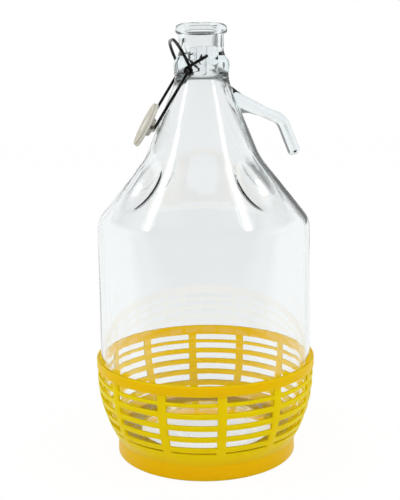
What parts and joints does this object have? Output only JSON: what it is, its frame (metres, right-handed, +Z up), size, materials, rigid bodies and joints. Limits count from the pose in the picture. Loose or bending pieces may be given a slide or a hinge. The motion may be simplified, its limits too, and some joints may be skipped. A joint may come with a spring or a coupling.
{
  "type": "glass demijohn",
  "caption": "Round glass demijohn with a hook handle and a swing stopper on a wire lever, standing in a slatted moulded basket.",
  "frame": {"origin": "on the bottle's axis, in the plane of the basket's foot", "axes": "+Z up along the bottle's axis and out of its mouth, +X towards the hook handle, the lever turns about Y"},
  "size_m": [0.1888, 0.1888, 0.364],
  "materials": {
    "clear_glass": "clear moulded glass with a faint blue-green tint",
    "yellow_plastic": "slightly translucent moulded plastic",
    "dark_wire": "dark drawn wire",
    "cream_plastic": "smooth moulded plastic",
    "cream_rubber": "matt flat seal"
  },
  "bodies": {
    "vessel": {"bottle": "clear_glass", "basket": "yellow_plastic"},
    "lever": {"lever": "dark_wire"},
    "bail": {"bail": "dark_wire"},
    "stopper": {"stopper": "cream_plastic", "seal": "cream_rubber"}
  },
  "joints": [
    {"name": "lever_turn", "type": "hinge", "parent": "vessel", "child": "lever", "pos_m": [0, 0, 0.3371], "axis": [0, 1, 0], "range_deg": [0, 10]},
    {"name": "bail_swing", "type": "hinge", "parent": "lever", "child": "bail", "pos_m": [-0.01541, 0, 0.32549], "axis": [0, 1, 0], "range_deg": [0, 115]},
    {"name": "stopper_turn", "type": "hinge", "parent": "bail", "child": "stopper", "pos_m": [-0.04371, 0, 0.2809], "axis": [0, 1, 0], "range_deg": [-20, 10]}
  ]
}
